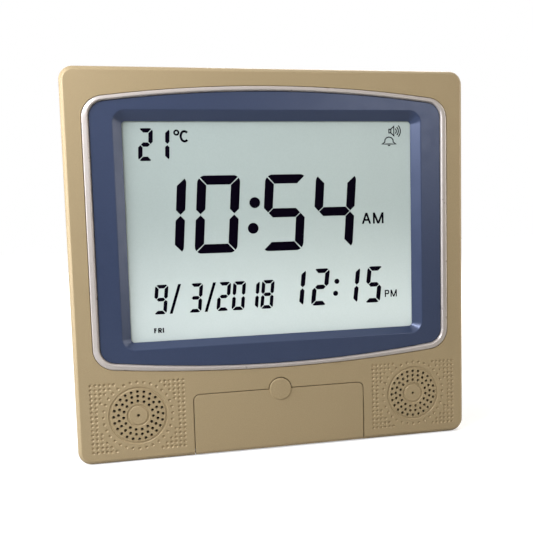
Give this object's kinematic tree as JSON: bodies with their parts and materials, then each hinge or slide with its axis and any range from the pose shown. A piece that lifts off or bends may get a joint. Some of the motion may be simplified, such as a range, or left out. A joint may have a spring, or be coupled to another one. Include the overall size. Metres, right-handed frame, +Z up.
{
  "type": "digital alarm clock",
  "caption": "Square digital alarm clock with a wide reflective display, arched bezel, twin speaker grilles, a key flap below and a folding stand leg behind.",
  "frame": {"origin": "middle of the base, on the surface that the clock stands on", "axes": "+X along the width as the display is read, +Y from front to back, +Z up"},
  "size_m": [0.27, 0.039, 0.256],
  "materials": {
    "black_plastic": "spark-textured black ABS",
    "blue_paint": "moulded ABS, sprayed satin slate blue",
    "board_green": "green solder mask on glass fibre board",
    "capacitor_sleeve": "shrunk sleeve over an aluminium can",
    "cell_wrap": "printed sleeve round a cell, plain colour",
    "chip_black": "black epoxy",
    "clear_glass": "clear float glass",
    "cone_paper": "pressed black paper",
    "contact_rubber": "layered contact rubber",
    "display_film": "polariser film with dark segments",
    "ferrite": "grey ferrite",
    "gold_paint": "moulded ABS, sprayed satin metallic gold",
    "key_cream": "moulded cream ABS",
    "mat_rubber": "grey silicone rubber",
    "panel_brown": "moulded dark brown ABS",
    "reflector_foil": "grey reflecting film",
    "ribbon_white": "flat flexible cable",
    "silver_paint": "moulded ABS, sprayed silver",
    "tinned_steel": "tinned steel",
    "white_plastic": "moulded white ABS"
  },
  "bodies": {
    "housing": {"front_shell": "gold_paint", "bezel": "blue_paint", "trim_ring": "silver_paint", "lcd_segment_film": "display_film", "lcd_front_glass": "clear_glass", "lcd_rear_glass": "clear_glass", "lcd_reflector": "reflector_foil", "contact_strip_top": "contact_rubber", "contact_strip_bottom": "contact_rubber", "lcd_frame": "white_plastic", "main_board": "board_green", "clock_chip": "chip_black", "sound_chip": "chip_black", "clock_crystal": "tinned_steel", "smoothing_capacitor": "capacitor_sleeve", "temperature_sensor": "chip_black", "flap_pin_left": "tinned_steel", "flap_pin_right": "tinned_steel", "key_panel": "panel_brown", "key_mat": "mat_rubber", "key_board": "board_green", "key_ribbon": "ribbon_white", "speaker_basket_left": "tinned_steel", "speaker_cone_left": "cone_paper", "speaker_magnet_left": "ferrite", "speaker_basket_right": "tinned_steel", "speaker_cone_right": "cone_paper", "speaker_magnet_right": "ferrite", "rear_cover": "black_plastic", "battery_1": "cell_wrap", "battery_2": "cell_wrap", "battery_3": "cell_wrap", "battery_contact_plus": "tinned_steel", "battery_contact_link_left": "tinned_steel", "battery_contact_link_right": "tinned_steel", "battery_contact_minus": "tinned_steel", "leg_pin": "tinned_steel", "dc_inlet": "black_plastic", "case_screw_lower_left": "tinned_steel", "case_screw_lower_right": "tinned_steel", "case_screw_middle_left": "tinned_steel", "case_screw_middle_right": "tinned_steel", "case_screw_upper_left": "tinned_steel", "case_screw_upper_right": "tinned_steel", "display_screw_1": "tinned_steel", "display_screw_2": "tinned_steel", "display_screw_3": "tinned_steel", "display_screw_4": "tinned_steel", "key_board_screw_left": "tinned_steel", "key_board_screw_right": "tinned_steel"},
    "flap_door": {"flap_door": "gold_paint"},
    "battery_door": {"battery_door": "black_plastic"},
    "stand_leg": {"stand_leg": "black_plastic"},
    "key_mode": {"key_mode": "key_cream"},
    "key_set": {"key_set": "key_cream"},
    "key_down": {"key_down": "key_cream"},
    "key_up": {"key_up": "key_cream"},
    "key_alarm": {"key_alarm": "key_cream"},
    "key_volume": {"key_volume": "key_cream"}
  },
  "joints": [
    {"name": "flap_hinge", "type": "hinge", "parent": "housing", "child": "flap_door", "pos_m": [0, -0.01545, 0.0034], "axis": [1, 0, 0], "range_deg": [0, 85]},
    {"name": "battery_door_tilt", "type": "hinge", "parent": "housing", "child": "battery_door", "pos_m": [-0.085, 0.01855, 0.0623], "axis": [-1, 0, 0], "range_deg": [0, 75]},
    {"name": "leg_hinge", "type": "hinge", "parent": "housing", "child": "stand_leg", "pos_m": [0, 0.01715, 0.1255], "axis": [1, 0, 0], "range_deg": [0, 30]},
    {"name": "key_mode_press", "type": "slide", "parent": "housing", "child": "key_mode", "axis": [0, 1, 0], "range_m": [0, 0.0008], "stiffness_N_per_m": 600, "springref_m": -0.0003},
    {"name": "key_set_press", "type": "slide", "parent": "housing", "child": "key_set", "axis": [0, 1, 0], "range_m": [0, 0.0008], "stiffness_N_per_m": 600, "springref_m": -0.0003},
    {"name": "key_down_press", "type": "slide", "parent": "housing", "child": "key_down", "axis": [0, 1, 0], "range_m": [0, 0.0008], "stiffness_N_per_m": 600, "springref_m": -0.0003},
    {"name": "key_up_press", "type": "slide", "parent": "housing", "child": "key_up", "axis": [0, 1, 0], "range_m": [0, 0.0008], "stiffness_N_per_m": 600, "springref_m": -0.0003},
    {"name": "key_alarm_press", "type": "slide", "parent": "housing", "child": "key_alarm", "axis": [0, 1, 0], "range_m": [0, 0.0008], "stiffness_N_per_m": 600, "springref_m": -0.0003},
    {"name": "key_volume_press", "type": "slide", "parent": "housing", "child": "key_volume", "axis": [0, 1, 0], "range_m": [0, 0.0008], "stiffness_N_per_m": 600, "springref_m": -0.0003}
  ]
}
